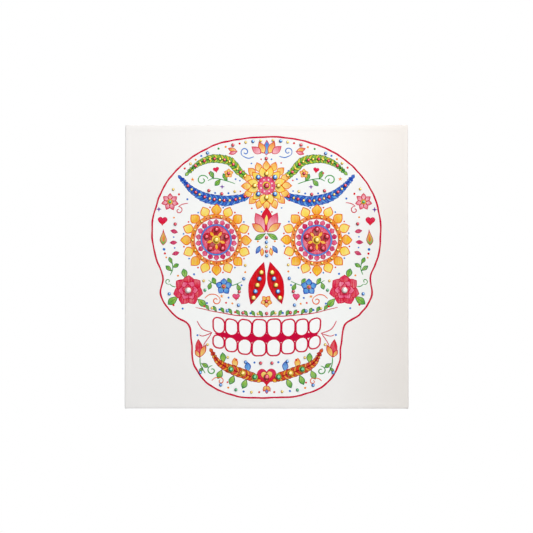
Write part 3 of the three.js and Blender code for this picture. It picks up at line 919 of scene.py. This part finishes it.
def pick(piece, kind, test):
    """In edit mode, selects the faces, edges or corners whose middle and normal pass a test."""
    bpy.ops.object.mode_set(mode="OBJECT")
    mesh = piece.data
    for group in (mesh.polygons, mesh.edges, mesh.vertices):
        group.foreach_set("select", [False] * len(group))
    if kind == "FACE":
        for face in mesh.polygons:
            face.select = bool(test(face.center, face.normal))
    elif kind == "EDGE":
        for edge in mesh.edges:
            first, last = (mesh.vertices[v].co for v in edge.vertices)
            edge.select = bool(test((first + last) / 2, last - first))
    else:
        for corner in mesh.vertices:
            corner.select = bool(test(corner.co, corner.normal))
    bpy.ops.object.mode_set(mode="EDIT")
    bpy.ops.mesh.select_mode(type=kind)


def pull(x, y, z):
    """Extrudes what is selected and moves it."""
    bpy.ops.mesh.extrude_region_move(TRANSFORM_OT_translate={"value": (x, y, z)})


def finished(piece, material, body="frame", replaces=(), smooth_angle=35):
    """Puts the place in the mesh and gives the piece its finish and its body."""
    take(piece)
    bpy.ops.object.transform_apply(location=True, rotation=True, scale=True)
    bpy.ops.object.shade_smooth_by_angle(angle=radians(smooth_angle))
    piece.data.materials.clear()
    piece.data.materials.append(material)
    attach(piece, body)
    for node in replaces:
        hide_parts(node)


def modified(piece, kind, **settings):
    """Adds a modifier and applies it."""
    modifier = piece.modifiers.new(kind.lower(), kind)
    for key, value in settings.items():
        setattr(modifier, key, value)
    take(piece)
    bpy.ops.object.modifier_apply(modifier=modifier.name)


def cut(piece, cutter):
    """Takes the cutter's shape out of a piece, and the cutter away."""
    modified(piece, "BOOLEAN", operation="DIFFERENCE", object=cutter, solver="EXACT")
    bpy.data.objects.remove(cutter)


def copy_of(piece, place):
    """A copy with its own mesh, put at a place."""
    copy = piece.copy()
    copy.data = piece.data.copy()
    copy.matrix_world = place
    bpy.context.collection.objects.link(copy)
    return copy


def joined(pieces, name):
    take(*pieces)
    bpy.ops.object.join()
    return start(name)


def plated(name, bright, dull, rough=0.3):
    """Plated metal with a fine cloudy spangle and rubbed marks."""
    finish = Finish(name)
    cloud = finish.noise(finish.place(), 160.0, 3.0)
    rubbed = finish.noise(finish.place((1.0, 1.0, 0.06)), 2000.0)
    colour = finish.mix((cloud * 0.7 + rubbed * 0.3).between(0.35, 0.75), tint(dull), tint(bright))
    roughness = cloud * 0.2 + rubbed * 0.12 + (rough - 0.12)
    return finish.done(Base_Color=colour, Metallic=1.0, Roughness=roughness,
                       Normal=finish.bump(rubbed * 0.6 + cloud * 0.4, 0.00004, 0.5))


crown, wire_width, wire_height, leg = 0.0102, 0.0012, 0.0006, 0.006
clear()
bpy.ops.mesh.primitive_cube_add(size=1)
staple = start("staple_shape")
staple.scale = (crown - 2 * wire_height, wire_height, wire_width)
bpy.ops.object.transform_apply(scale=True)
bpy.ops.object.mode_set(mode="EDIT")
for side in (1, -1):
    pick(staple, "FACE", lambda c, n: n.x * side > 0.9)
    pull(side * wire_height, 0, 0)
pick(staple, "FACE", lambda c, n: n.y < -0.9 and abs(c.x) > crown / 2 - wire_height)
pull(0, -leg, 0)
pick(staple, "EDGE", lambda c, d: abs(c.x) > crown / 2 - 1e-5 and c.y > 0 and abs(d.z) > wire_width * 0.9)
bpy.ops.mesh.bevel(offset=0.0004, segments=3)
bpy.ops.object.mode_set(mode="OBJECT")
to_a_side, staple_step, set_in, corner_in, fold_lift = 7, 54, 9.5, 7.4, 0.6
seats = []
for quarter in range(4):
    facing = 90 + 90 * quarter
    for k in range(to_a_side):
        wander = sin(3.7 * k + 2.1 * quarter)
        seat = complex(half - set_in + 1.3 * wander, staple_step * (k - 3) + 4 * sin(5.3 * k + quarter))
        seats.append((seat * 1j ** quarter, facing + 5 * wander, 0.0))
    seats.append((complex(half - corner_in, half - corner_in) * 1j ** quarter, facing + 45, fold_lift))
copies = []
for seat, turned, lift in seats:
    place = Vector((seat.real, lift, seat.imag + middle_height)) / 1000 + Vector((0, wire_height / 2, 0))
    copies.append(copy_of(staple, Matrix.Translation(place) @ Matrix.Rotation(-radians(turned), 4, "Y")))
bpy.data.objects.remove(staple)
finished(joined(copies, "staples"), plated("staple_wire", "c9c8c4", "8f8e8b"))


# Hanging straps: a strip of zinc-plated sheet, its lower end round with a screw hole, and its upper end
# rolled into a barrel that holds the ring's wire. One is screwed to each side bar.
hang_x, ring_y, hang_z = next(j["pos_m"] for j in frame["joints"] if j["child"] == "ring_right")
strap_width, sheet, strap_reach, hole_drop, hole_radius = 0.010, 0.001, 0.024, 0.019, 0.002
barrel_middle, barrel_turn = 0.002, 285
strap_y = ring_y - barrel_middle
zinc = plated("zinc_plate", "d3d3cd", "a3a4a0")
for name, side in (("left", -1), ("right", 1)):
    clear()
    x = side * hang_x
    bpy.ops.mesh.primitive_plane_add(size=1, location=(x, strap_y, hang_z - strap_reach / 2),
                                     rotation=(radians(90), 0, 0))
    strap = start(f"hanger_strap_{name}")
    strap.scale = (strap_width, strap_reach, 1)
    bpy.ops.object.transform_apply(location=True, rotation=True, scale=True)
    bpy.ops.object.mode_set(mode="EDIT")
    pick(strap, "VERT", lambda c, n: c.z < hang_z - strap_reach + 1e-4)
    bpy.ops.mesh.bevel(offset=strap_width / 2 - 5e-5, segments=10, affect="VERTICES")
    pick(strap, "EDGE", lambda c, d: c.z > hang_z - 1e-5)
    bpy.ops.mesh.spin(steps=28, angle=radians(barrel_turn), center=(x, ring_y, hang_z), axis=(1, 0, 0))
    bpy.ops.mesh.select_all(action="SELECT")
    bpy.ops.mesh.remove_doubles(threshold=1e-6)
    bpy.ops.mesh.normals_make_consistent(inside=False)
    bpy.ops.object.mode_set(mode="OBJECT")
    modified(strap, "SOLIDIFY", thickness=sheet, offset=0.0)
    clear()
    bpy.ops.mesh.primitive_cylinder_add(vertices=40, radius=hole_radius, depth=strap_width,
                                        location=(x, strap_y, hang_z - hole_drop),
                                        rotation=(radians(90), 0, 0))
    cut(strap, start("punch"))
    modified(strap, "BEVEL", width=0.00014, segments=2, limit_method="ANGLE", angle_limit=radians(50))
    finished(strap, zinc, replaces=(f"strap_{name}",))

# Screws: brass-plated steel with a pan head and a cross recess, one to a strap. Each goes through the
# strap's hole into the bar, and its head holds the strap down.
head_radius, head_height = 0.0033, 0.0022
shank_radius, screw_length, point_length = 0.0016, 0.0118, 0.0025
head_shares = ((1.0, 0.35), (0.93, 0.62), (0.8, 0.8), (0.6, 0.93), (0.36, 1.0))
slot_length, slot_width, slot_depth, seat_gap = 0.0039, 0.0010, 0.0013, 0.0001
brass = plated("brass_plate", "e0b95c", "a37c33", 0.26)
for name, side in (("left", -1), ("right", 1)):
    clear()
    rim_height = head_height * head_shares[0][1]
    bpy.ops.mesh.primitive_cylinder_add(vertices=48, radius=head_radius, depth=rim_height)
    screw = start(f"hanger_screw_{name}")
    bpy.ops.object.mode_set(mode="EDIT")
    pick(screw, "FACE", lambda c, n: n.z > 0.9)
    for (wide, tall), (wider, taller) in zip(head_shares, head_shares[1:]):
        pull(0, 0, head_height * (taller - tall))
        bpy.ops.transform.resize(value=(wider / wide, wider / wide, 1))
    pick(screw, "FACE", lambda c, n: n.z < -0.9)
    bpy.ops.mesh.inset(thickness=head_radius - shank_radius)
    pull(0, 0, point_length - screw_length)
    pull(0, 0, -point_length)
    bpy.ops.transform.resize(value=(0.12, 0.12, 1))
    bpy.ops.object.mode_set(mode="OBJECT")
    for wide, tall in ((slot_length, slot_width), (slot_width, slot_length)):
        clear()
        bpy.ops.mesh.primitive_cube_add(size=1, location=(0, 0, head_height))
        cutter = start("cutter")
        cutter.scale = (wide, tall, 2 * slot_depth)
        bpy.ops.object.transform_apply(scale=True)
        cut(screw, cutter)
    modified(screw, "BEVEL", width=0.00008, segments=2, limit_method="ANGLE", angle_limit=radians(60))
    screw.rotation_euler = (radians(-90), radians(20 * side), 0)
    screw.location = (side * hang_x, strap_y + sheet / 2 + rim_height / 2 + seat_gap, hang_z - hole_drop)
    finished(screw, brass, replaces=(f"screw_{name}",))

# Rings: a zinc-plated steel wire bent to a D. Its straight side lies in the strap's barrel, where its two
# ends meet, and the ring swings there.
wire, ring_half, ring_drop, bend, split = 0.0012, 0.0082, 0.0122, 0.0022, 0.0003
path = [complex(split, 0)]
path += arc(complex(ring_half - bend, -bend), bend, 90, -90, 0.0003)
path += arc(complex(0, ring_half - ring_drop), ring_half, 0, -180, 0.0006)
path += arc(complex(bend - ring_half, -bend), bend, 180, -90, 0.0003)
path += [complex(-split, 0)]
for name, side in (("left", -1), ("right", 1)):
    curve = bpy.data.curves.new(f"hanger_ring_{name}", "CURVE")
    curve.dimensions, curve.bevel_depth, curve.bevel_resolution, curve.use_fill_caps = "3D", wire, 5, True
    spline = curve.splines.new("POLY")
    spline.points.add(len(path) - 1)
    for point, p in zip(spline.points, path):
        point.co = (side * hang_x + p.real, ring_y, hang_z + p.imag, 1)
    bent = bpy.data.objects.new(f"hanger_ring_{name}", curve)
    bpy.context.collection.objects.link(bent)
    take(bent)
    bpy.ops.object.convert(target="MESH")
    finished(bpy.context.object, zinc, f"ring_{name}", (f"ring_{name}",), 50)


# Gems: flat-backed acrylic domes, clear colour over a bright foil, each held by a film of glue. The larger
# ones are 7 and 8.4 mm across, and the small ones, 4 to 5 mm, are stuck on in rows along the drawing.
def acrylic(name, painted_highlight, body, rim_shade, metal=0.2):
    """Coloured acrylic with a clear gloss; its colour holds a painted highlight off its middle and painted
    shade that deepens to its rim.
    """
    finish = Finish(name)
    rim = finish.node("ShaderNodeVertexColor", {"layer_name": "rim"})
    rim = finish.node("ShaderNodeSeparateColor", {}, rim)
    cloud = (finish.noise(finish.place(), 420.0, 1.0) - 0.5) * 0.35
    # Along the rim attribute the colour runs from the painted highlight through the body colour to the
    # painted shade at the rim
    ramp = {"stops": [(0.0, tint(painted_highlight)), (0.42, tint(body)), (0.88, tint(rim_shade))]}
    colour = finish.node("ShaderNodeValToRGB", ramp, rim + cloud)
    return finish.done(Base_Color=colour, Metallic=metal, Roughness=0.16, Specular_IOR_Level=0.3,
                       Coat_Weight=0.6, Coat_Roughness=0.03, Coat_IOR=1.4,
                       Normal=finish.bump(finish.noise(finish.place(), 900.0, 1.0), 0.00003, 0.3))


acrylics = {
    "gold": acrylic("acrylic_gold", "fff4ae", "f2c42a", "7c4a04"),
    "blue": acrylic("acrylic_blue", "bce6ff", "2f78d4", "051048"),
    "red": acrylic("acrylic_red", "ff8496", "c80c28", "4a030c"),
    "green": acrylic("acrylic_green", "98f0b8", "12904a", "043016"),
    "pearl": acrylic("acrylic_pearl", "ffffff", "efe6e0", "bfb0ac", 0.1),
}


# Each dome's painted highlight sits a little right of and above its middle
painted_highlight_spot, spot_reach, foot_share = Vector((0.26, 0.1)), 1.12, 0.93


def domed(radius, rise, girdle, film, segments, rings):
    """A flat-backed dome that faces the viewer, its foot at the origin. Rise is its height over its radius,
    girdle is the height of its straight rim, and film that of the glue."""
    clear()
    bpy.ops.mesh.primitive_uv_sphere_add(segments=segments, ring_count=2 * rings, radius=radius)
    gem = start("gem_shape")
    bpy.ops.object.mode_set(mode="EDIT")
    pick(gem, "VERT", lambda c, n: c.z < -radius * 0.01)
    bpy.ops.mesh.delete(type="VERT")
    bpy.ops.mesh.select_all(action="SELECT")
    bpy.ops.transform.resize(value=(1, 1, rise), center_override=(0, 0, 0))
    pick(gem, "EDGE", lambda c, d: c.z < radius * 0.001)
    pull(0, 0, -girdle)
    pull(0, 0, -film)
    bpy.ops.transform.resize(value=(foot_share, foot_share, 1))
    bpy.ops.mesh.edge_face_add()
    bpy.ops.mesh.select_all(action="SELECT")
    bpy.ops.mesh.normals_make_consistent(inside=False)
    bpy.ops.object.mode_set(mode="OBJECT")
    # The rim attribute carries painted light: 0 at the painted highlight, rising to 1 of painted shade at
    # the rim, and 1 on the girdle and foot
    rim = gem.data.color_attributes.new("rim", "FLOAT_COLOR", "POINT")
    for corner, value in zip(gem.data.vertices, rim.data):
        from_highlight = (corner.co.xy - painted_highlight_spot * radius).length / (spot_reach * radius)
        share = min(1.0, from_highlight) ** 1.6 if corner.co.z > 0.0001 else 1.0
        value.color = (share, share, share, 1)
    gem.location = (0, -girdle - film, 0)
    gem.rotation_euler = (radians(90), 0, 0)
    take(gem)
    bpy.ops.object.transform_apply(location=True, rotation=True)
    return gem


def on_cloth(x, z):
    """The place of a gem's foot, sunk a little into the cloth's face, from its x and z in metres."""
    face = (canvas_front + sag(x * 1000, z * 1000 - middle_height)) / 1000
    return Matrix.Translation((x, face + sunk, z))


large_radius, middle_radius, sunk = 0.0042, 0.0035, 0.00003
large_shape = domed(large_radius, 0.62, 0.0007, 0.0005, 36, 9)
middle_shape = domed(middle_radius, 0.62, 0.0007, 0.0005, 32, 8)
large_gems = {"blossom_centre": "red", "eye_left_centre": "gold", "eye_right_centre": "gold",
              "chin_centre": "red", "cheek_left": "pearl", "cheek_right": "pearl"}
middle_gems = {"blossom": ("blue", "gold"), "eye": ("red", "red"), "nose": ("blue", "gold"),
               "chin": ("gold", "green")}
for node in sorted(frame["nodes"]):
    if not node.startswith("gem_"):
        continue
    seat = node[len("gem_"):]
    low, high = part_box(node)
    middle_of_gem = (low + high) / 2
    colour = large_gems.get(seat) or middle_gems[seat.split("_")[0]][int(seat[-1]) % 2]
    gem = copy_of(large_shape if seat in large_gems else middle_shape,
                  on_cloth(middle_of_gem.x, middle_of_gem.z))
    gem.name = gem.data.name = f"dome_{seat}"
    finished(gem, acrylics[colour], replaces=(node,), smooth_angle=50)
bpy.data.objects.remove(large_shape)
bpy.data.objects.remove(middle_shape)

small_radius = {"gold": 0.002, "green": 0.0023, "red": 0.0025, "blue": 0.0025}
for colour, radius in small_radius.items():
    small_shape = domed(radius, 0.65, 0.0003, 0.0001, 14, 3)
    copies = []
    for spot in beads[colour]:
        spot = swing(spot)
        copies.append(copy_of(small_shape, on_cloth(spot.real / 1000, (spot.imag + middle_height) / 1000)))
    bpy.data.objects.remove(small_shape)
    finished(joined(copies, f"small_gems_{colour}"), acrylics[colour], smooth_angle=50)


# The setting: a pale floor under the hung canvas, a white background, three soft lamps and the camera. The
# key lamp stands above and right of the viewer, a bluer one fills from below, and one lights the back.
clear()
bpy.ops.mesh.primitive_circle_add(vertices=96, radius=0.75, fill_type="NGON", location=(0, 0, -0.85))
floor = start("floor")
bpy.ops.object.transform_apply(location=True)
pale_floor = Finish("pale_floor")
seen = pale_floor.node("ShaderNodeLightPath", {}, out="Is_Camera_Ray")
pale_floor.done(Base_Color=(0.86, 0.86, 0.86), Roughness=0.9, Emission_Color=(1, 1, 1),
                Emission_Strength=seen * 0.12)
floor.data.materials.append(pale_floor.made)

studio_light = 0.3
world = bpy.data.worlds.new("studio")
bpy.context.scene.world = world
studio = Finish("studio", world, "Background")
shown = studio.node("ShaderNodeLightPath", {}, out="Is_Camera_Ray")
for ray in ("Is_Glossy_Ray", "Is_Transmission_Ray"):
    this = studio.node("ShaderNodeLightPath", {}, out=ray)
    shown = studio.node("ShaderNodeMath", {"operation": "MAXIMUM"}, shown, this)
level = studio.node("ShaderNodeMapRange", {}, shown, To_Min=studio_light, To_Max=1.0)
studio.done(Color=(1, 1, 1), Strength=level)

canvas_middle = Vector((0, canvas_front, middle_height)) / 1000


def lamp(name, place, size, power, colour):
    """A round soft lamp that points at the canvas's middle."""
    light = bpy.data.lights.new(name, "AREA")
    light.shape, light.size, light.energy, light.color = "DISK", size, power, colour
    holder = bpy.data.objects.new(name, light)
    holder.location = place
    holder.rotation_euler = (canvas_middle - Vector(place)).to_track_quat("-Z", "Y").to_euler()
    bpy.context.collection.objects.link(holder)


lamp("key", (0.4, -1.12, 0.86), 0.8, 18.9, (1.0, 0.98, 0.957))
lamp("fill", (-0.35, -1.6, -0.6), 0.9, 4.8, (0.8, 0.93, 1.0))
lamp("back", (0.85, 1.15, 0.6), 1.0, 9.0, (1.0, 0.99, 0.97))

distance, below_level, right_of_middle, view_width, sensor = 1.3, radians(0.9), 0.008, 0.764, 36.0
camera = bpy.data.objects.new("camera", bpy.data.cameras.new("camera"))
bpy.context.collection.objects.link(camera)
camera.location = canvas_middle + Vector((right_of_middle, -distance * cos(below_level),
                                          -distance * sin(below_level)))
camera.rotation_euler = (canvas_middle - camera.location).to_track_quat("-Z", "Y").to_euler()
camera.data.sensor_width = sensor
camera.data.lens = sensor * distance / view_width
bpy.context.scene.camera = camera
bpy.context.scene.view_settings.view_transform = "Standard"
